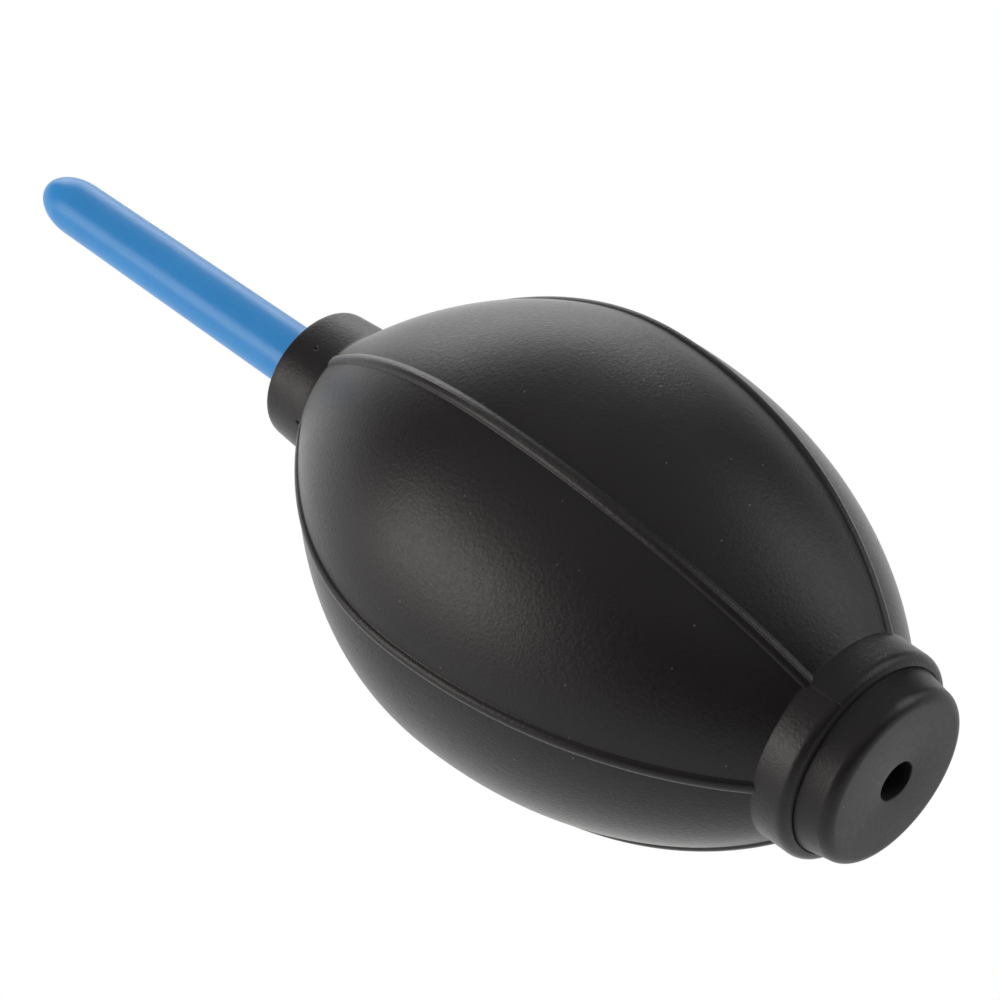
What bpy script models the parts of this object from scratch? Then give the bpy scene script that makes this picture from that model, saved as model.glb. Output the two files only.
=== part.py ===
"""A watchmaker's dust blower bulb: a ribbed rubber squeeze bulb with a press-fit tapered nozzle at one
end and an air-inlet plug with a one-way valve at the other.

The blower lies on its side with its long axis along X, the nozzle towards -X and the inlet plug towards +X.
Lengths along the axis are "stations": the distance from the plug's outer face towards the nozzle's tip.
Every piece is modelled along its own local Z (station) axis and hangs from one empty, which lays it down.
"""

from math import acos, cos, pi, radians, sin, sqrt

import bmesh
import bpy
from mathutils import Matrix, Vector

MM = 0.001
GAP = 0.3 * MM  # between two pieces that touch

# Squeeze bulb, one rubber moulding.
BULB_RADIUS = 26.0 * MM
LAND_START, LAND_END = 41.0 * MM, 48.0 * MM  # the widest stretch, which the bulb lies on
WALL = 3.0 * MM
TAIL_LENGTH, TAIL_POWER, TAIL_BLUNTNESS = 38.2 * MM, 1.54, 0.5
NOSE_LENGTH, NOSE_POWER, NOSE_BLUNTNESS = 41.7 * MM, 1.81, 1.0
COLLAR_RADIUS = 12.15 * MM
COLLAR_FACE = 3.9 * MM
COLLAR_EDGE = 1.15 * MM
COLLAR_BORE_RADIUS = 8.3 * MM
COLLAR_END = 8.4 * MM  # where the bulb starts to swell out of the collar
CAVITY_START = 12.0 * MM
CAVITY_END = 79.0 * MM
NECK_RADIUS = 7.9 * MM
NECK_START = 82.1 * MM
NECK_END = 87.7 * MM
NECK_EDGE = 0.4 * MM
NECK_BORE_RADIUS = 4.05 * MM

# Grip ribs: six raised beads along the bulb. The parting line of the mould runs along the first.
RIB_COUNT = 6
RIB_ANGLE = radians(-23.7)  # of the first rib, from the top of the lying bulb
RIB_BEAD_RADIUS = 0.8 * MM
RIB_HEIGHT = 0.45 * MM
RIB_START, RIB_END = 8.4 * MM, 80.2 * MM
RIB_POINTS = 15

# Press zones: the two sides that the thumb and finger push in, square to the parting plane.
PRESS_ANGLE = RIB_ANGLE - pi / 2
PRESS_STATION = 46.0 * MM
PRESS_HALF_LENGTH = 28.0 * MM
PRESS_HALF_WIDTH = 19.5 * MM

# Inlet plug, rubber.
HEAD_RADIUS = 10.3 * MM
HEAD_BASE_RADIUS = 10.8 * MM  # next to the collar
HEAD_THICKNESS = 3.6 * MM
HEAD_EDGE = 1.4 * MM
INLET_RADIUS = 2.3 * MM
INLET_LENGTH = 6.0 * MM
STEM_RADIUS = COLLAR_BORE_RADIUS - GAP
STEM_LIP_RADIUS = 9.3 * MM
STEM_LIP_START = CAVITY_START + GAP
PLUG_END = 15.6 * MM
POCKET_RADIUS = 5.6 * MM

# One-way valve in the plug's pocket: seat, disc and cage.
INSERT_RADIUS = POCKET_RADIUS - GAP
SEAT_START = INLET_LENGTH + GAP
SEAT_THICKNESS = 1.6 * MM
SEAT_LIP = 0.5 * MM
SEAT_HOLE_RADIUS = 2.0 * MM
DISC_START = SEAT_START + SEAT_THICKNESS + SEAT_LIP + GAP
DISC_RADIUS = 3.8 * MM
DISC_THICKNESS = 0.8 * MM
DISC_LIFT = 1.5 * MM
CAGE_START = SEAT_START + SEAT_THICKNESS + GAP
CAGE_BORE_RADIUS = 4.2 * MM
CAGE_FLOOR_START = DISC_START + DISC_THICKNESS + DISC_LIFT + GAP
CAGE_FLOOR = 1.4 * MM
CAGE_SLOTS = 4
CAGE_SLOT_RADIUS = 0.9 * MM
CAGE_SLOT_CIRCLE = 2.7 * MM

# Nozzle, hard plastic.
NOZZLE_ROOT_RADIUS = 3.65 * MM
NOZZLE_TIP_RADIUS = 3.4 * MM
NOZZLE_TIP_START = 131.5 * MM  # of the rounded tip, half an ellipse
NOZZLE_TIP_LENGTH = 6.0 * MM
SHANK_END = 76.6 * MM
SHANK_GROOVE_RADIUS = 3.3 * MM
SHANK_BEADS = 3
SHANK_BEAD_PITCH = 2.9 * MM
NOZZLE_BORE_RADIUS = 1.8 * MM
OUTLET_RADIUS = 1.0 * MM
OUTLET_LENGTH = 5.0 * MM

OVERALL_LENGTH = NOZZLE_TIP_START + NOZZLE_TIP_LENGTH * sqrt(1 - (OUTLET_RADIUS / NOZZLE_TIP_RADIUS) ** 2)
BULB_SEGMENTS = 48
FITTING_SEGMENTS = 32


def clear_scene():
    for item in list(bpy.data.objects):
        bpy.data.objects.remove(item, do_unlink=True)


def new_collection(name, is_hidden):
    collection = bpy.data.collections.new(name)
    collection.hide_render = is_hidden
    bpy.context.scene.collection.children.link(collection)
    return collection


def material(name, color, roughness, metallic=0.0):
    made = bpy.data.materials.new(name)
    made.use_nodes = True
    shader = made.node_tree.nodes["Principled BSDF"]
    shader.inputs["Base Color"].default_value = (*color, 1.0)
    shader.inputs["Roughness"].default_value = roughness
    shader.inputs["Metallic"].default_value = metallic
    return made


def place(item, collection, axis_frame, station=0.0):
    """Hang an object from the blower's axis, with its origin at a station."""
    collection.objects.link(item)
    item.parent = axis_frame
    item.location = (0, 0, station)


def arc(radius_at, station_at, radius, start, end, steps):
    """Points (radius, station) round a centre. Angle 0 points outward, 90 degrees towards the nozzle."""
    turn = (end - start) / steps
    angles = [radians(start + turn * index) for index in range(steps + 1)]
    return [(radius_at + radius * cos(a), station_at + radius * sin(a)) for a in angles]


def turned(name, outline, surface, segments, origin=0.0):
    """Turn an outline of (radius, station) points, which runs down its outer side, about the axis."""
    mesh = bpy.data.meshes.new(name)
    points = [(radius, 0.0, station - origin) for radius, station in outline]
    closes_on_axis = outline[0][0] == 0 and outline[-1][0] == 0
    last = len(points) - 1
    edges = [(index, index + 1) for index in range(last)]
    if not closes_on_axis:
        edges.append((last, 0))
    mesh.from_pydata(points, edges, [])
    mesh.materials.append(surface)
    item = bpy.data.objects.new(name, mesh)
    screw = item.modifiers.new("turn", "SCREW")
    screw.steps = segments
    screw.render_steps = segments
    screw.use_merge_vertices = closes_on_axis
    screw.merge_threshold = 0.00001
    screw.use_smooth_shade = True
    item.rotation_euler.z = pi / segments
    return item


def boolean(item, name, operation, other):
    modifier = item.modifiers.new(name, "BOOLEAN")
    modifier.operation = operation
    modifier.solver = "EXACT"
    modifier.object = other


# Squeeze bulb


def bulb_radius(station):
    """Outer radius of the bulb between the collar and the neck."""
    to_tail = max(LAND_START - station, 0.0)
    to_nose = max(station - LAND_END, 0.0)
    tail = (1 - (to_tail / TAIL_LENGTH) ** TAIL_POWER) ** TAIL_BLUNTNESS
    nose = (1 - (to_nose / NOSE_LENGTH) ** NOSE_POWER) ** NOSE_BLUNTNESS
    return BULB_RADIUS * tail * nose


def spread(start, end, count):
    return [start + (end - start) * index / (count - 1) for index in range(count)]


def bulb_outline():
    """The rubber wall from the neck's rim down to the collar, then back up through the cavity."""
    swell = spread(COLLAR_END + MM, LAND_START, 12) + spread(LAND_END, NECK_START - 1.4 * MM, 13)
    neck = [
        (NECK_BORE_RADIUS, NECK_END),
        (NECK_RADIUS - NECK_EDGE, NECK_END),
        (NECK_RADIUS, NECK_END - NECK_EDGE),
        (NECK_RADIUS, NECK_START + 0.6 * MM),
    ]
    outside = [(bulb_radius(station), station) for station in reversed(swell)]
    rim = arc(COLLAR_RADIUS - COLLAR_EDGE, COLLAR_FACE + COLLAR_EDGE, COLLAR_EDGE, 0, -90, 3)
    collar = [(COLLAR_RADIUS, COLLAR_END)] + rim
    bore = [(COLLAR_BORE_RADIUS, COLLAR_FACE), (COLLAR_BORE_RADIUS, CAVITY_START)]
    depths = spread(CAVITY_START, CAVITY_END, 16)
    cavity = [(bulb_radius(station) - WALL, station) for station in depths]
    return neck + outside + collar + bore + cavity + [(NECK_BORE_RADIUS, CAVITY_END + MM)]


def rib_path():
    """Points (radius, station) of a rib's centre line. Both ends dive into the wall."""
    path = []
    for station in spread(RIB_START, RIB_END, RIB_POINTS):
        path.append((bulb_radius(station) + RIB_HEIGHT - RIB_BEAD_RADIUS, station))
    for end in (0, -1):
        path[end] = (path[end][0] - RIB_BEAD_RADIUS, path[end][1])
    return path


def mesh_from_curve(name, curve_object):
    """A closed mesh copy of a bevelled curve, with its caps welded."""
    graph = bpy.context.evaluated_depsgraph_get()
    mesh = bpy.data.meshes.new_from_object(curve_object.evaluated_get(graph))
    shape = bmesh.new()
    shape.from_mesh(mesh)
    bmesh.ops.remove_doubles(shape, verts=shape.verts, dist=0.00001)
    bmesh.ops.recalc_face_normals(shape, faces=shape.faces)
    shape.to_mesh(mesh)
    shape.free()
    bpy.data.objects.remove(curve_object, do_unlink=True)
    return bpy.data.objects.new(name, mesh)


def rib_beads(helpers, axis_frame):
    """All six grip ribs as one object of separate round beads."""
    curve = bpy.data.curves.new("rib_guides", "CURVE")
    curve.dimensions = "3D"
    curve.bevel_depth = RIB_BEAD_RADIUS
    curve.bevel_resolution = 1
    curve.use_fill_caps = True
    for index in range(RIB_COUNT):
        angle = RIB_ANGLE + 2 * pi * index / RIB_COUNT
        spline = curve.splines.new("POLY")
        spline.points.add(RIB_POINTS - 1)
        for point, (radius, station) in zip(spline.points, rib_path()):
            point.co = (radius * cos(angle), radius * sin(angle), station, 1.0)
    guide = bpy.data.objects.new("rib_guides", curve)
    helpers.objects.link(guide)
    bpy.context.view_layer.update()
    beads = mesh_from_curve("rib_beads", guide)
    beads.display_type = "WIRE"
    beads.hide_render = True
    place(beads, helpers, axis_frame)
    return beads


def press_cutter(name, helpers, axis_frame, angle, margin):
    """An elliptic prism from near the axis out through the wall, at an angle round the axis."""
    mesh = bpy.data.meshes.new(name)
    shape = bmesh.new()
    depth = BULB_RADIUS * 1.2
    inner = BULB_RADIUS * 0.1
    bmesh.ops.create_cone(
        shape,
        cap_ends=True,
        segments=40,
        radius1=1.0,
        radius2=1.0,
        depth=depth,
        matrix=Matrix.Translation((0, 0, inner + depth / 2)),
    )
    half_sizes = (PRESS_HALF_WIDTH - margin, PRESS_HALF_LENGTH - margin, 1.0)
    bmesh.ops.scale(shape, vec=half_sizes, verts=shape.verts)
    # The prism's own Z turns outward, its Y along the blower's axis.
    outward = Vector((cos(angle), sin(angle), 0))
    along = Vector((0, 0, 1))
    turn = Matrix((along.cross(outward), along, outward)).transposed()
    bmesh.ops.rotate(shape, matrix=turn, verts=shape.verts)
    shape.to_mesh(mesh)
    shape.free()
    cutter = bpy.data.objects.new(name, mesh)
    cutter.display_type = "WIRE"
    cutter.hide_render = True
    place(cutter, helpers, axis_frame, PRESS_STATION)
    return cutter


def bulb_wall(name, parts, axis_frame, rubber, beads):
    wall = turned(name, bulb_outline(), rubber, BULB_SEGMENTS)
    place(wall, parts, axis_frame)
    boolean(wall, "ribs", "UNION", beads)
    return wall


def make_bulb(parts, helpers, axis_frame):
    """The rubber moulding: its wall with two windows, and the two press zones that fill them."""
    rubber = material("black_rubber", (0.022, 0.022, 0.023), 0.55)
    beads = rib_beads(helpers, axis_frame)
    wall = bulb_wall("squeeze_bulb", parts, axis_frame, rubber, beads)
    for side, angle in (("front", PRESS_ANGLE), ("back", PRESS_ANGLE + pi)):
        window = press_cutter(f"window_{side}", helpers, axis_frame, angle, 0.0)
        boolean(wall, f"window_{side}", "DIFFERENCE", window)
        outline = press_cutter(f"outline_{side}", helpers, axis_frame, angle, GAP)
        zone = bulb_wall(f"press_zone_{side}", parts, axis_frame, rubber, beads)
        boolean(zone, "outline", "INTERSECT", outline)


# Inlet plug and valve


def make_inlet_plug(parts, axis_frame):
    rubber = material("plug_rubber", (0.045, 0.045, 0.045), 0.45)
    lip_end = PLUG_END - MM
    outline = [
        (POCKET_RADIUS, PLUG_END),
        (STEM_RADIUS, PLUG_END),
        (STEM_LIP_RADIUS, lip_end),
        (STEM_LIP_RADIUS, STEM_LIP_START),
        (STEM_RADIUS, STEM_LIP_START),
        (STEM_RADIUS, HEAD_THICKNESS),
        (HEAD_BASE_RADIUS, HEAD_THICKNESS),
    ]
    outline += arc(HEAD_RADIUS - HEAD_EDGE, HEAD_EDGE, HEAD_EDGE, 0, -90, 5)
    outline += [
        (INLET_RADIUS, 0.0),
        (INLET_RADIUS, INLET_LENGTH),
        (POCKET_RADIUS, INLET_LENGTH),
    ]
    place(turned("inlet_plug", outline, rubber, FITTING_SEGMENTS), parts, axis_frame)


def make_valve_seat(parts, axis_frame):
    plastic = material("valve_plastic", (0.75, 0.75, 0.72), 0.4)
    face = SEAT_START + SEAT_THICKNESS
    outline = [
        (SEAT_HOLE_RADIUS, face + SEAT_LIP),
        (SEAT_HOLE_RADIUS + 0.5 * MM, face + SEAT_LIP),
        (SEAT_HOLE_RADIUS + 0.8 * MM, face),
        (INSERT_RADIUS, face),
        (INSERT_RADIUS, SEAT_START),
        (SEAT_HOLE_RADIUS, SEAT_START),
    ]
    place(turned("valve_seat", outline, plastic, FITTING_SEGMENTS), parts, axis_frame)


def make_valve_disc(parts, axis_frame):
    silicone = material("valve_silicone", (0.6, 0.58, 0.55), 0.5)
    outline = [
        (0.0, DISC_START + DISC_THICKNESS),
        (DISC_RADIUS, DISC_START + DISC_THICKNESS),
        (DISC_RADIUS, DISC_START),
        (0.0, DISC_START),
    ]
    disc = turned("valve_disc", outline, silicone, FITTING_SEGMENTS, DISC_START)
    place(disc, parts, axis_frame, DISC_START)


def make_valve_cage(parts, helpers, axis_frame):
    """The cup that keeps the disc near its seat, with a ring of air holes in its floor."""
    plastic = material("cage_plastic", (0.75, 0.75, 0.72), 0.4)
    end = CAGE_FLOOR_START + CAGE_FLOOR
    outline = [
        (0.0, end),
        (INSERT_RADIUS, end),
        (INSERT_RADIUS, CAGE_START),
        (CAGE_BORE_RADIUS, CAGE_START),
        (CAGE_BORE_RADIUS, CAGE_FLOOR_START),
        (0.0, CAGE_FLOOR_START),
    ]
    cage = turned("valve_cage", outline, plastic, FITTING_SEGMENTS)
    place(cage, parts, axis_frame)
    for index in range(CAGE_SLOTS):
        angle = 2 * pi * index / CAGE_SLOTS
        mesh = bpy.data.meshes.new("air_hole")
        shape = bmesh.new()
        bmesh.ops.create_cone(
            shape,
            cap_ends=True,
            segments=12,
            radius1=CAGE_SLOT_RADIUS,
            radius2=CAGE_SLOT_RADIUS,
            depth=CAGE_FLOOR * 2,
        )
        shape.to_mesh(mesh)
        shape.free()
        hole = bpy.data.objects.new(f"air_hole_{index}", mesh)
        hole.display_type = "WIRE"
        hole.hide_render = True
        place(hole, helpers, axis_frame, CAGE_FLOOR_START + CAGE_FLOOR / 2)
        hole.location.x = CAGE_SLOT_CIRCLE * cos(angle)
        hole.location.y = CAGE_SLOT_CIRCLE * sin(angle)
        boolean(cage, f"air_hole_{index}", "DIFFERENCE", hole)


# Nozzle


def make_nozzle(parts, axis_frame):
    plastic = material("blue_plastic", (0.05, 0.22, 0.51), 0.35)
    mouth_angle = acos(OUTLET_RADIUS / NOZZLE_TIP_RADIUS)
    outline = []
    for angle in spread(mouth_angle, 0.0, 8):
        station = NOZZLE_TIP_START + NOZZLE_TIP_LENGTH * sin(angle)
        outline.append((NOZZLE_TIP_RADIUS * cos(angle), station))
    outline.append((NOZZLE_ROOT_RADIUS, NECK_END))
    for index in range(SHANK_BEADS):
        crest = NECK_END - SHANK_BEAD_PITCH * (index + 1)
        outline += [
            (SHANK_GROOVE_RADIUS, crest + SHANK_BEAD_PITCH * 0.6),
            (NOZZLE_ROOT_RADIUS, crest + SHANK_BEAD_PITCH * 0.3),
            (NOZZLE_ROOT_RADIUS, crest),
        ]
    outline += [
        (SHANK_GROOVE_RADIUS, SHANK_END),
        (NOZZLE_BORE_RADIUS, SHANK_END),
        (NOZZLE_BORE_RADIUS, OVERALL_LENGTH - 2 * OUTLET_LENGTH),
        (OUTLET_RADIUS, OVERALL_LENGTH - OUTLET_LENGTH),
    ]
    nozzle = turned("nozzle", outline, plastic, FITTING_SEGMENTS, NECK_END)
    place(nozzle, parts, axis_frame, NECK_END)


def lay_down():
    """The empty that lays the axis along X, one flat of the bulb on the ground."""
    axis_frame = bpy.data.objects.new("dust_blower_axis", None)
    bpy.context.scene.collection.objects.link(axis_frame)
    axis_frame.rotation_euler.y = -pi / 2
    axis_frame.location = (OVERALL_LENGTH / 2, 0, BULB_RADIUS * cos(pi / BULB_SEGMENTS))
    return axis_frame


def main():
    clear_scene()
    parts = new_collection("dust_blower_bulb", False)
    helpers = new_collection("cutters", True)
    axis_frame = lay_down()
    make_bulb(parts, helpers, axis_frame)
    make_inlet_plug(parts, axis_frame)
    make_valve_seat(parts, axis_frame)
    make_valve_disc(parts, axis_frame)
    make_valve_cage(parts, helpers, axis_frame)
    make_nozzle(parts, axis_frame)


main()
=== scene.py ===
"""The looks of the dust blower bulb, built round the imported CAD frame.

The long axis lies along X. Places along it are "stations": the distance from the inlet plug's outer face
towards the nozzle's tip. Angles round it are measured from straight up (+Z) towards -Y.
"""

from math import acos, cos, exp, hypot, pi, radians, remainder, sin, sqrt

import bmesh
import bpy
from mathutils import Matrix, Vector


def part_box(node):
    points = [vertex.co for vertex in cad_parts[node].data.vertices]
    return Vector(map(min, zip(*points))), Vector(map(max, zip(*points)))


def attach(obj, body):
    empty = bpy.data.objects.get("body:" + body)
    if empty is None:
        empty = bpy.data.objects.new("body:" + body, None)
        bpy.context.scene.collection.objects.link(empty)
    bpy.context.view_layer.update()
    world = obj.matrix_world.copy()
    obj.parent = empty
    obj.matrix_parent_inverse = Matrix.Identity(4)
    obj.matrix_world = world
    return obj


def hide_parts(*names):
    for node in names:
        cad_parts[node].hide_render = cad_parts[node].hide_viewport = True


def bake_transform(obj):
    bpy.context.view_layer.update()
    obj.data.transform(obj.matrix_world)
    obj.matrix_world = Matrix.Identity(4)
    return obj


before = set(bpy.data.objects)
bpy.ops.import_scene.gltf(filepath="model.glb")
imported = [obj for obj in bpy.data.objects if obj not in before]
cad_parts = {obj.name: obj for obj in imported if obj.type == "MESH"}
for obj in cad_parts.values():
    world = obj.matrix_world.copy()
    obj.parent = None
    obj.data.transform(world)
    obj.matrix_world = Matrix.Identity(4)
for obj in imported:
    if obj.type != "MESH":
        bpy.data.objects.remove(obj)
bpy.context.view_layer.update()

MM = 0.001

# From the frame.
BULB_LOW, BULB_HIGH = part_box("squeeze_bulb")
PLUG_LOW, PLUG_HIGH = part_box("inlet_plug")
NOZZLE_LOW, NOZZLE_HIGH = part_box("nozzle")
AXIS_HEIGHT = (PLUG_LOW.z + PLUG_HIGH.z) / 2
TAIL_X = PLUG_HIGH.x
BULB_RADIUS = AXIS_HEIGHT - BULB_LOW.z
COLLAR_FACE = TAIL_X - BULB_HIGH.x
NECK_END = TAIL_X - BULB_LOW.x - 0.3 * MM  # the moulded edge falls a little short
PLUG_END = TAIL_X - PLUG_LOW.x
TIP_END = TAIL_X - NOZZLE_LOW.x
SHANK_END = TAIL_X - NOZZLE_HIGH.x

# Squeeze bulb.
WIDEST = 46.0 * MM
TAIL_LENGTH, TAIL_POWER, TAIL_BLUNTNESS = 45.1 * MM, 2.1, 2 / 3
NOSE_LENGTH, NOSE_POWER = 42.2 * MM, 2.05
WALL = 3.0 * MM
COLLAR_RADIUS = 12.15 * MM
COLLAR_EDGE = 1.15 * MM
COLLAR_BORE = 8.3 * MM
COLLAR_CREASE = 0.08 * MM
SEAT_RADIUS, SEAT_DEPTH = 10.97 * MM, 0.4 * MM  # the plug's head sits in this recess
CAVITY_START, CAVITY_END = 12.0 * MM, 79.0 * MM
NECK_RADIUS = 8.0 * MM
NECK_FLARE = 0.07  # it widens towards the swelling
NECK_EDGE = 0.35 * MM
NECK_BORE = 4.05 * MM
NECK_CREASE = 0.2 * MM

# Grip ribs, and the parting line of the mould, which runs along the first and the fourth rib.
SEAM_ANGLE = radians(23.7)
RIB_STEP = radians(60)
RIB_BEAD_RADIUS = 0.85 * MM
RIB_HEIGHT = 0.48 * MM
RIB_CREASE = 0.05 * MM
RIB_END, RIB_FADE = 82.5 * MM, 2.5 * MM
FLASH_HEIGHT, FLASH_HALF_WIDTH = 0.045 * MM, 0.12 * MM
FLASH_END = 60.0 * MM

# The bulb's mesh: columns crowd towards the ribs, rows (start, end, count) are closest at the two creases.
COLUMNS_PER_HALF_GAP = 56
COLUMN_CROWDING = 4.2
ROWS = [
    (COLLAR_FACE + COLLAR_EDGE + 0.2 * MM, 7.4 * MM, 7),
    (7.7 * MM, 9.5 * MM, 37),
    (10.0 * MM, 79.8 * MM, 140),
    (80.1 * MM, 85.0 * MM, 57),
    (85.4 * MM, NECK_END - NECK_EDGE - 0.2 * MM, 5),
]
CAVITY_ROWS = 40

# Inlet plug.
HEAD_RADIUS = 10.3 * MM
HEAD_EDGE = 1.4 * MM
HEAD_BASE_RADIUS = 10.87 * MM  # next to the collar
HEAD_GAP = 0.1 * MM  # to the collar
INLET_RADIUS = 2.3 * MM
INLET_LENGTH = 6.0 * MM
INLET_EDGE = 0.15 * MM
STEM_RADIUS = 8.0 * MM
STEM_LIP_RADIUS = 9.3 * MM
STEM_LIP_START = 12.3 * MM
POCKET_RADIUS = 5.6 * MM

# Nozzle.
NOZZLE_ROOT_RADIUS = 3.65 * MM
NOZZLE_TIP_RADIUS = 3.4 * MM
NOZZLE_TIP_LENGTH = 6.0 * MM
NOZZLE_TIP_SETBACK = 0.4 * MM  # the moulded tip is a little blunter than its solid
NOZZLE_BORE = 1.8 * MM
OUTLET_RADIUS = 1.0 * MM
OUTLET_LENGTH = 5.0 * MM
SHANK_GROOVE_RADIUS = 3.3 * MM
SHANK_BEADS = 3
SHANK_BEAD_PITCH = 2.9 * MM
NOZZLE_LEAN = radians(0.5)  # the soft neck lets it sit a little askew
NOZZLE_LEAN_TOWARDS = radians(128)

# Surface of the rubber.
BLOTCH_SIZE = 9 * MM
POLISH_SIZE, POLISH_RANGE = 0.6 * MM, 0.03
PORE_SIZE, PORE_DEPTH = 0.14 * MM, 0.008 * MM
SHEEN_ROUGHNESS = 0.3
# Pale colour of the dust specks, also used for the painted highlights on the plug's rim.
DUST_AND_GLINT = (0.16, 0.15, 0.14)
SPECK_SPACING, SPECK_SHARE = 2.5 * MM, 0.35
SPECK_CORE, SPECK_EDGE = 0.035, 0.06  # in shares of the spacing
# Painted highlights on the plug's rim: grain and strength of their lightening.
PAINTED_GLINT_GRAIN, PAINTED_GLINT_SHARE = 0.3 * MM, 0.3
PITS = [  # on the neck: (station, angle, size, depth)
    (84.0 * MM, radians(22.4), 0.4 * MM, 0.35 * MM),
    (81.5 * MM, radians(81), 0.4 * MM, 0.3 * MM),
]
PAINTED_RIM_GLINTS = [  # painted highlights on the plug's rim, lighter patches where light catches small dents: (station, radius, angle, size)
    (0.75 * MM, 10.1 * MM, radians(-0.5), 0.6 * MM),
    (0.7 * MM, 10.1 * MM, radians(-5), 0.7 * MM),
    (0.65 * MM, 10.1 * MM, radians(-9.5), 0.6 * MM),
]

# Stage.
WHITE, WARM_WHITE = (1.0, 1.0, 1.0), (1.0, 0.96, 0.92)
LIGHTS = [  # (name, place, size, radiance, colour, whether it shows in reflections)
    ("fill", (0.0, 0.0, 1.55), (3.0, 3.0), 0.3, WHITE, False),
    ("ceiling", (0.0, 0.0, 1.5), (3.0, 3.0), 0.5, WHITE, True),
    ("left", (-0.46, -0.83, 0.25), (0.72, 0.5), 6.4, WARM_WHITE, True),
    ("back", (-0.76, 0.57, 0.28), (0.85, 0.5), 3.5, WHITE, True),
    ("right", (0.43, 0.66, 0.5), (0.62, 0.7), 2.6, WHITE, True),
]
LIGHTS_AIM = Vector((0.0, 0.0, 0.03))
WORLD_GLOW = 0.03
FLOOR_SIZE = 6.0
FLOOR_GLOW = 1.0  # a light table, so no shadow shows
BACKDROP_RADIUS, BACKDROP_HEIGHT = 2.9, 3.0
CAMERA_AZIMUTH, CAMERA_ELEVATION = 46.73, 41.58
CAMERA_FROM_PLUG = Vector((138.41, -184.40, 238.94)) * MM
CAMERA_LENS = 119.08


# Shapes


def at(radius, station, angle):
    """The point at a radius, a station and an angle round the axis."""
    return Vector((TAIL_X - station, -radius * sin(angle), AXIS_HEIGHT + radius * cos(angle)))


def spread(start, end, count):
    return [start + (end - start) * index / (count - 1) for index in range(count)]


def arc(radius_at, station_at, radius, start, end, steps):
    """Points (radius, station) round a centre. Angle 0 points outward, 90 degrees towards the nozzle."""
    angles = [radians(start + (end - start) * index / steps) for index in range(steps + 1)]
    return [(radius_at + radius * cos(a), station_at + radius * sin(a)) for a in angles]


def soft_max(first, second, softness):
    return (first + second + sqrt((first - second) ** 2 + softness**2)) / 2


def smooth_step(value):
    value = min(max(value, 0.0), 1.0)
    return value * value * (3 - 2 * value)


def swell_radius(station):
    """Radius of the bulb's plain swelling, without collar, neck and ribs."""
    away = abs(station - WIDEST)
    if station < WIDEST:
        left = max(1 - (away / TAIL_LENGTH) ** TAIL_POWER, 0.0)
        return BULB_RADIUS * left**TAIL_BLUNTNESS
    return BULB_RADIUS * max(1 - (away / NOSE_LENGTH) ** NOSE_POWER, 0.0)


def off_rib(angle, radius):
    """Distance round the skin from the nearest rib, and that rib's number."""
    nearest = round((angle - SEAM_ANGLE) / RIB_STEP)
    return abs(angle - SEAM_ANGLE - nearest * RIB_STEP) * radius, nearest


def skin_radius(station, angle):
    """Outer radius with ribs, anywhere between the collar's and the neck's rounded edges."""
    radius = swell_radius(station)
    off, _ = off_rib(angle, radius)
    bead = sqrt(max(RIB_BEAD_RADIUS**2 - off**2, 0.0)) + RIB_HEIGHT - RIB_BEAD_RADIUS
    radius += soft_max(bead, 0.0, RIB_CREASE) * smooth_step((RIB_END - station) / RIB_FADE)
    if station < WIDEST:
        return soft_max(radius, COLLAR_RADIUS, COLLAR_CREASE)
    neck = NECK_RADIUS + (NECK_END - station) * NECK_FLARE
    return soft_max(radius, neck, NECK_CREASE)


def fine_relief(station, radius, angle):
    """How far the mould's parting line stands out of the skin here, less the pits in it."""
    off, rib = off_rib(angle, radius)
    lift = 0.0
    if rib % 3 == 0 and station < FLASH_END:
        lift = FLASH_HEIGHT * exp(-((off / FLASH_HALF_WIDTH) ** 2))
    for pit_station, pit_angle, size, depth in PITS:
        away = hypot(remainder(angle - pit_angle, 2 * pi) * radius, station - pit_station)
        lift -= depth * smooth_step(1 - away / size)
    return lift


def put_in_scene(name, shape, surface):
    """An object from a bmesh, which is freed."""
    mesh = bpy.data.meshes.new(name)
    shape.to_mesh(mesh)
    shape.free()
    mesh.materials.append(surface)
    item = bpy.data.objects.new(name, mesh)
    bpy.context.scene.collection.objects.link(item)
    return item


def new_piece(name, shape, surface, sharp_angle=35):
    """A piece from a closed bmesh, smooth but for its sharp edges."""
    bmesh.ops.recalc_face_normals(shape, faces=shape.faces)
    piece = put_in_scene(name, shape, surface)
    piece.data.shade_smooth()
    piece.data.set_sharp_from_angle(angle=radians(sharp_angle))
    return piece


def turned(name, outline, surface, columns=128):
    """A full turn of a closed outline of (radius, station) points."""
    shape = bmesh.new()
    rings = []
    for column in range(columns):
        angle = 2 * pi * column / columns
        rings.append([shape.verts.new(at(radius, station, angle)) for radius, station in outline])
    for column in range(columns):
        here, there = rings[column], rings[(column + 1) % columns]
        for row in range(len(outline)):
            after = (row + 1) % len(outline)
            shape.faces.new((here[row], here[after], there[after], there[row]))
    return new_piece(name, shape, surface)


# Squeeze bulb


def bulb_outside(angle):
    """Outline (radius, station) of the outer skin at an angle, from the collar's face to the neck's."""
    stations = [station for rows in ROWS for station in spread(*rows)]
    collar_rim = arc(COLLAR_RADIUS - COLLAR_EDGE, COLLAR_FACE + COLLAR_EDGE, COLLAR_EDGE, -90, 0, 10)
    neck_rim = arc(NECK_RADIUS - NECK_EDGE, NECK_END - NECK_EDGE, NECK_EDGE, 0, 90, 6)
    skin = [(skin_radius(station, angle), station) for station in stations]
    outline = collar_rim + skin + neck_rim
    return [(radius + fine_relief(station, radius, angle), station) for radius, station in outline]


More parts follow.
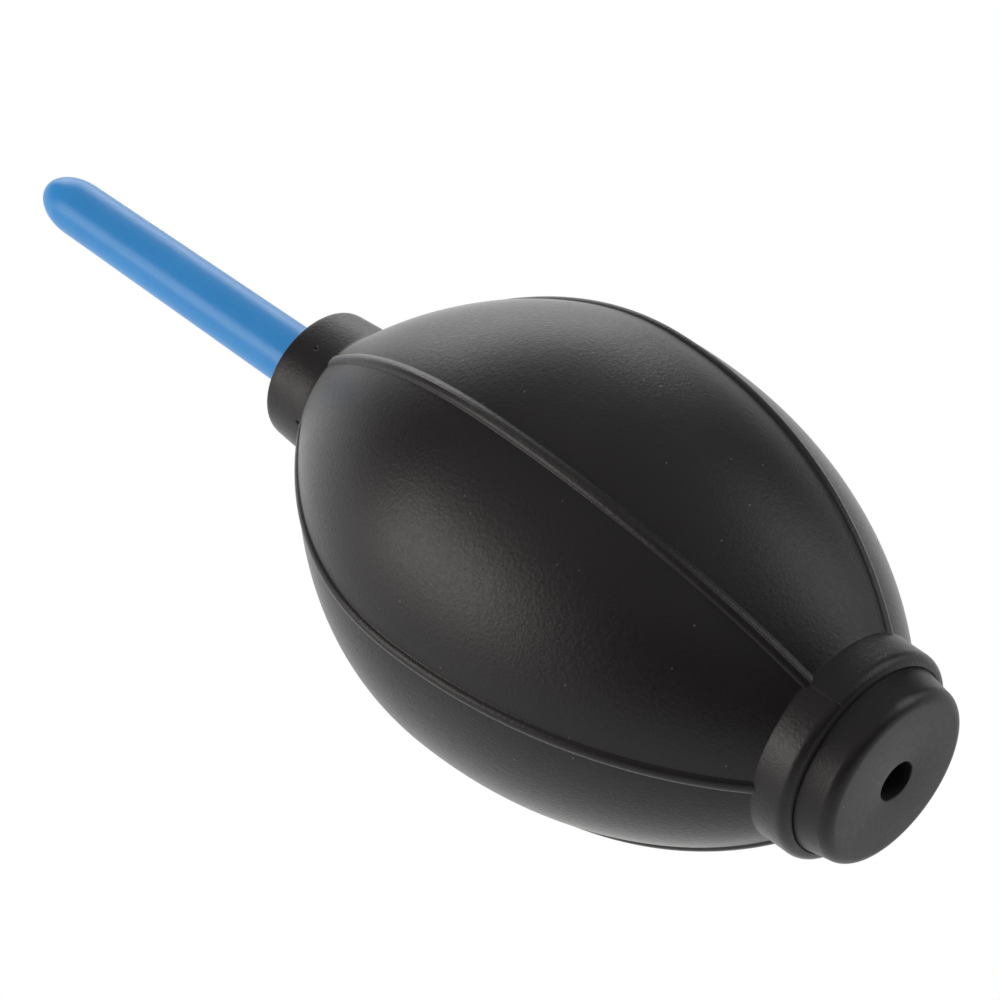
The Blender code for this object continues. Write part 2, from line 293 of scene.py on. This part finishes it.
def bulb_inside():
    """Outline of the neck's bore, the cavity and the plug's seat, back to the collar's face."""
    seat = COLLAR_FACE + SEAT_DEPTH
    depths = spread(CAVITY_END, CAVITY_START, CAVITY_ROWS)
    cavity = [(swell_radius(station) - WALL, station) for station in depths]
    bores = [(NECK_BORE, NECK_END), (NECK_BORE, CAVITY_END + MM)] + cavity + [(COLLAR_BORE, CAVITY_START)]
    return bores + [(COLLAR_BORE, seat), (SEAT_RADIUS, seat)]


def half_angles(first):
    """Angles over half a turn, crowded towards each rib."""
    half_gap = RIB_STEP / 2
    shares = spread(0.0, COLUMN_CROWDING, COLUMNS_PER_HALF_GAP + 1)
    steps = [(exp(share) - 1) / (exp(COLUMN_CROWDING) - 1) for share in shares]
    angles = []
    for gap in range(3):
        start = first + gap * RIB_STEP
        angles += [start + half_gap * step for step in steps[:-1]]
        angles += [start + RIB_STEP - half_gap * step for step in steps[:0:-1]]
    return angles + [first + 3 * RIB_STEP]


def bulb_half(name, first_angle, surface):
    """Half of the moulding from its parting plane, as a closed wall."""
    shape = bmesh.new()
    columns = []
    inside = bulb_inside()
    for angle in half_angles(first_angle):
        outline = bulb_outside(angle) + inside
        columns.append([shape.verts.new(at(radius, station, angle)) for radius, station in outline])
    for here, there in zip(columns, columns[1:]):
        for row in range(len(here)):
            after = (row + 1) % len(here)
            shape.faces.new((here[row], here[after], there[after], there[row]))
    shape.faces.new(columns[0])
    shape.faces.new(columns[-1])
    return new_piece(name, shape, surface, sharp_angle=50)


def make_bulb(surface):
    """Two halves that meet on the parting plane, in place of the frame's bulb and press zones, which are
    hidden.
    """
    for side, first_angle in (("front", SEAM_ANGLE), ("back", SEAM_ANGLE + pi)):
        half = bulb_half(f"bulb_half_{side}", first_angle, surface)
        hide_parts("squeeze_bulb", f"press_zone_{side}")
        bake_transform(half)


# Inlet plug and nozzle


def make_inlet_plug(surface):
    rim = arc(HEAD_RADIUS - HEAD_EDGE, HEAD_EDGE, HEAD_EDGE, 0, -90, 16)
    mouth = arc(INLET_RADIUS + INLET_EDGE, INLET_EDGE, INLET_EDGE, -90, -180, 5)
    head_base = COLLAR_FACE + SEAT_DEPTH - HEAD_GAP
    outline = [
        (POCKET_RADIUS, PLUG_END),
        (STEM_RADIUS, PLUG_END),
        (STEM_LIP_RADIUS, PLUG_END - MM),
        (STEM_LIP_RADIUS, STEM_LIP_START),
        (STEM_RADIUS, STEM_LIP_START),
        (STEM_RADIUS, head_base),
        (HEAD_BASE_RADIUS, head_base),
    ]
    outline += rim
    outline += [(HEAD_RADIUS - HEAD_EDGE - 0.4 * MM, 0.0)] + mouth
    outline += [(INLET_RADIUS, INLET_LENGTH), (POCKET_RADIUS, INLET_LENGTH)]
    plug = turned("inlet_plug_body", outline, surface)
    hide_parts("inlet_plug")
    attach(plug, "bulb")


def lean_about_neck():
    """The small turn that brings the nozzle out of line."""
    towards = at(1.0, 0.0, NOZZLE_LEAN_TOWARDS) - at(0.0, 0.0, 0.0)
    turn = Matrix.Rotation(NOZZLE_LEAN, 4, Vector((-1, 0, 0)).cross(towards))
    pivot = Matrix.Translation(at(0.0, NECK_END, 0.0))
    return pivot @ turn @ pivot.inverted()


def make_nozzle(surface):
    mouth_angle = acos(OUTLET_RADIUS / NOZZLE_TIP_RADIUS)
    tip_end = TIP_END - NOZZLE_TIP_SETBACK
    tip_start = tip_end - NOZZLE_TIP_LENGTH * sin(mouth_angle)
    outline = [(OUTLET_RADIUS, tip_end - 0.1 * MM)]
    for angle in spread(mouth_angle - radians(2), 0.0, 28):
        outline.append((NOZZLE_TIP_RADIUS * cos(angle), tip_start + NOZZLE_TIP_LENGTH * sin(angle)))
    for share in spread(0.05, 1.0, 20):
        radius = NOZZLE_TIP_RADIUS + (NOZZLE_ROOT_RADIUS - NOZZLE_TIP_RADIUS) * share
        outline.append((radius, tip_start + (NECK_END - tip_start) * share))
    for index in range(SHANK_BEADS):
        crest = NECK_END - SHANK_BEAD_PITCH * (index + 1)
        outline += [
            (SHANK_GROOVE_RADIUS, crest + SHANK_BEAD_PITCH * 0.6),
            (NOZZLE_ROOT_RADIUS, crest + SHANK_BEAD_PITCH * 0.3),
            (NOZZLE_ROOT_RADIUS, crest),
        ]
    outline += [
        (SHANK_GROOVE_RADIUS, SHANK_END),
        (NOZZLE_BORE, SHANK_END),
        (NOZZLE_BORE, tip_end - 2 * OUTLET_LENGTH),
        (OUTLET_RADIUS, tip_end - OUTLET_LENGTH),
    ]
    nozzle = turned("nozzle_tube", outline, surface)
    nozzle.data.transform(lean_about_neck())
    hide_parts("nozzle")
    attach(nozzle, "nozzle")


# Materials


class Nodes:
    """A short way to add and link shader nodes."""

    def __init__(self, name):
        self.material = bpy.data.materials.new(name)
        self.material.use_nodes = True
        self.tree = self.material.node_tree
        self.shader = self.tree.nodes["Principled BSDF"]
        self.position = self.add("ShaderNodeTexCoord").outputs["Object"]

    def add(self, kind, inputs=(), **settings):
        node = self.tree.nodes.new(kind)
        for key, value in settings.items():
            setattr(node, key, value)
        for key, value in dict(inputs).items():
            if isinstance(value, bpy.types.NodeSocket):
                self.tree.links.new(value, node.inputs[key])
            else:
                node.inputs[key].default_value = value
        return node

    def noise(self, size, detail=2.0, roughness=0.5):
        """Noise from 0 to 1 with features of about this size in metres."""
        inputs = {"Vector": self.position, "Scale": 1 / size, "Detail": detail, "Roughness": roughness}
        return self.add("ShaderNodeTexNoise", inputs).outputs["Fac"]

    def vary(self, size, low, high, detail=2.0):
        """Noise stretched to run from low to high."""
        return self.remap(self.noise(size, detail), 0.3, 0.7, low, high)

    def cells(self, size, feature="SMOOTH_F1"):
        """Distance from cell centres of about this size in metres."""
        inputs = {"Vector": self.position, "Scale": 1 / size}
        return self.add("ShaderNodeTexVoronoi", inputs, feature=feature).outputs["Distance"]

    def math(self, operation, first, second=0.0):
        node = self.add("ShaderNodeMath", {0: first, 1: second}, operation=operation)
        return node.outputs[0]

    def remap(self, value, low, high, to_low, to_high):
        inputs = {"Value": value, "From Min": low, "From Max": high, "To Min": to_low, "To Max": to_high}
        return self.add("ShaderNodeMapRange", inputs).outputs["Result"]

    def distance(self, place):
        """Distance in metres from a place."""
        node = self.add("ShaderNodeVectorMath", {0: self.position, 1: place}, operation="DISTANCE")
        return node.outputs[1]

    def blend(self, share, first, second):
        """A mix of two colours, each one a node's output or three numbers."""
        ends = [end if isinstance(end, bpy.types.NodeSocket) else (*end, 1.0) for end in (first, second)]
        node = self.add("ShaderNodeMix", {0: share, 6: ends[0], 7: ends[1]}, data_type="RGBA")
        return node.outputs[2]

    def bump(self, height, depth, strength=1.0, under=None):
        inputs = {"Height": height, "Distance": depth, "Strength": strength}
        if under is not None:
            inputs["Normal"] = under
        return self.add("ShaderNodeBump", inputs).outputs["Normal"]

    def wire(self, **sockets):
        for key, value in sockets.items():
            socket = self.shader.inputs[key.replace("_", " ")]
            if isinstance(value, bpy.types.NodeSocket):
                self.tree.links.new(value, socket)
            else:
                socket.default_value = value
        return self.material


def rubber(name, dark, light, rough, specular, sheen, grain_size, grain_depth, painted_glints=()):
    """Moulded black rubber with a fine grain, specks of dust, and painted highlights given as (centre,
    size): lighter patches where light catches small dents.
    """
    nodes = Nodes(name)
    grain = nodes.math("ADD", nodes.cells(grain_size), nodes.noise(grain_size * 0.8, 3.0, 0.6))
    color = nodes.blend(nodes.vary(BLOTCH_SIZE, 0.0, 1.0, detail=3.0), dark, light)
    from_speck = nodes.cells(SPECK_SPACING, "F1")
    speck = nodes.remap(from_speck, SPECK_CORE, SPECK_EDGE, SPECK_SHARE, 0.0)
    color = nodes.blend(speck, color, DUST_AND_GLINT)
    # Painted highlights: the colour lightens towards the pale dust colour round each rim dent, where light
    # would catch it.
    for centre, size in painted_glints:
        painted_glint = nodes.remap(nodes.distance(centre), size * 0.2, size, PAINTED_GLINT_SHARE, 0.0)
        color = nodes.blend(nodes.math("MULTIPLY", painted_glint, nodes.noise(PAINTED_GLINT_GRAIN)), color, DUST_AND_GLINT)
    normal = nodes.bump(nodes.noise(PORE_SIZE), PORE_DEPTH)
    normal = nodes.bump(grain, grain_depth, under=normal)
    return nodes.wire(
        Base_Color=color,
        Roughness=nodes.vary(POLISH_SIZE, rough - POLISH_RANGE, rough + POLISH_RANGE),
        Specular_IOR_Level=specular,
        Sheen_Weight=sheen,
        Sheen_Roughness=SHEEN_ROUGHNESS,
        Normal=normal,
    )


def blue_plastic():
    """Slightly translucent polyethylene."""
    nodes = Nodes("blue_plastic")
    blotch = nodes.vary(6 * MM, 0.0, 1.0)
    return nodes.wire(
        Base_Color=nodes.blend(blotch, (0.03, 0.212, 0.5), (0.034, 0.227, 0.525)),
        Roughness=nodes.vary(2 * MM, 0.31, 0.35),
        Specular_IOR_Level=0.24,
        Subsurface_Weight=0.4,
        Subsurface_Radius=(0.3, 0.7, 1.0),
        Subsurface_Scale=2.5 * MM,
        Normal=nodes.bump(nodes.noise(3 * MM, 1.0), 0.012 * MM),
    )


def pale_plastic(name, color, rough):
    nodes = Nodes(name)
    darker = tuple(share * 0.85 for share in color)
    return nodes.wire(
        Base_Color=nodes.blend(nodes.noise(2 * MM), color, darker),
        Roughness=nodes.vary(0.6 * MM, rough - 0.06, rough + 0.06),
        Normal=nodes.bump(nodes.noise(0.25 * MM), 0.01 * MM),
    )


def finish_valve():
    white = pale_plastic("valve_plastic_grain", (0.72, 0.72, 0.69), 0.45)
    silicone = pale_plastic("valve_silicone_grain", (0.6, 0.58, 0.55), 0.55)
    for node, surface in (("valve_seat", white), ("valve_cage", white), ("valve_disc", silicone)):
        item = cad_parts[node]
        item.data.materials.clear()
        item.data.materials.append(surface)


# Stage


def make_stage():
    """A glowing white floor, and a white wall round it that adds neither light nor reflections."""
    nodes = Nodes("stage_white")
    white = nodes.wire(
        Base_Color=(0.0, 0.0, 0.0, 1.0),
        Roughness=1.0,
        Specular_IOR_Level=0.0,
        Emission_Color=(1.0, 1.0, 1.0, 1.0),
        Emission_Strength=FLOOR_GLOW,
    )
    shape = bmesh.new()
    bmesh.ops.create_grid(shape, x_segments=1, y_segments=1, size=FLOOR_SIZE / 2)
    put_in_scene("floor", shape, white)
    shape = bmesh.new()
    radii = {"radius1": BACKDROP_RADIUS, "radius2": BACKDROP_RADIUS}
    bmesh.ops.create_cone(shape, segments=64, depth=BACKDROP_HEIGHT, **radii)
    bmesh.ops.translate(shape, verts=shape.verts, vec=(0.0, 0.0, BACKDROP_HEIGHT / 2))
    backdrop = put_in_scene("backdrop", shape, white)
    backdrop.visible_diffuse = False
    backdrop.visible_glossy = False
    backdrop.visible_shadow = False


def area_light(name, place, size, radiance, color, in_reflections):
    data = bpy.data.lights.new(name, "AREA")
    data.shape = "RECTANGLE"
    data.size, data.size_y = size
    data.energy = radiance * pi * size[0] * size[1]
    data.color = color
    light = bpy.data.objects.new(name, data)
    light.location = place
    light.rotation_euler = (LIGHTS_AIM - Vector(place)).to_track_quat("-Z", "Y").to_euler()
    light.visible_glossy = in_reflections
    light.visible_camera = False
    bpy.context.scene.collection.objects.link(light)


def make_lights():
    world = bpy.data.worlds.new("studio")
    world.use_nodes = True
    background = world.node_tree.nodes["Background"]
    background.inputs["Color"].default_value = (*WHITE, 1.0)
    background.inputs["Strength"].default_value = WORLD_GLOW
    bpy.context.scene.world = world
    for settings in LIGHTS:
        area_light(*settings)


def make_camera():
    data = bpy.data.cameras.new("camera")
    data.lens = CAMERA_LENS
    data.clip_start, data.clip_end = 0.01, 20.0
    camera = bpy.data.objects.new("camera", data)
    camera.location = at(0.0, 0.0, 0.0) + CAMERA_FROM_PLUG
    camera.rotation_euler = (radians(90 - CAMERA_ELEVATION), 0.0, radians(CAMERA_AZIMUTH))
    bpy.context.scene.collection.objects.link(camera)
    bpy.context.scene.camera = camera


def main():
    bulb_rubber = rubber(
        "bulb_rubber_grain",
        dark=(0.006, 0.0046, 0.005),
        light=(0.0075, 0.0058, 0.0062),
        rough=0.42,
        specular=0.275,
        sheen=0.41,
        grain_size=0.38 * MM,
        grain_depth=0.02 * MM,
    )
    plug_rubber = rubber(
        "plug_rubber_grain",
        dark=(0.008, 0.0066, 0.007),
        light=(0.0098, 0.0081, 0.0085),
        rough=0.42,
        specular=0.25,
        sheen=0.13,
        grain_size=0.3 * MM,
        grain_depth=0.01 * MM,
        # Painted highlights on the plug's rim.
        painted_glints=[(at(radius, station, angle), size) for station, radius, angle, size in PAINTED_RIM_GLINTS],
    )
    make_bulb(bulb_rubber)
    make_inlet_plug(plug_rubber)
    make_nozzle(blue_plastic())
    finish_valve()
    make_stage()
    make_lights()
    make_camera()
    bpy.context.scene.view_settings.view_transform = "Standard"


main()
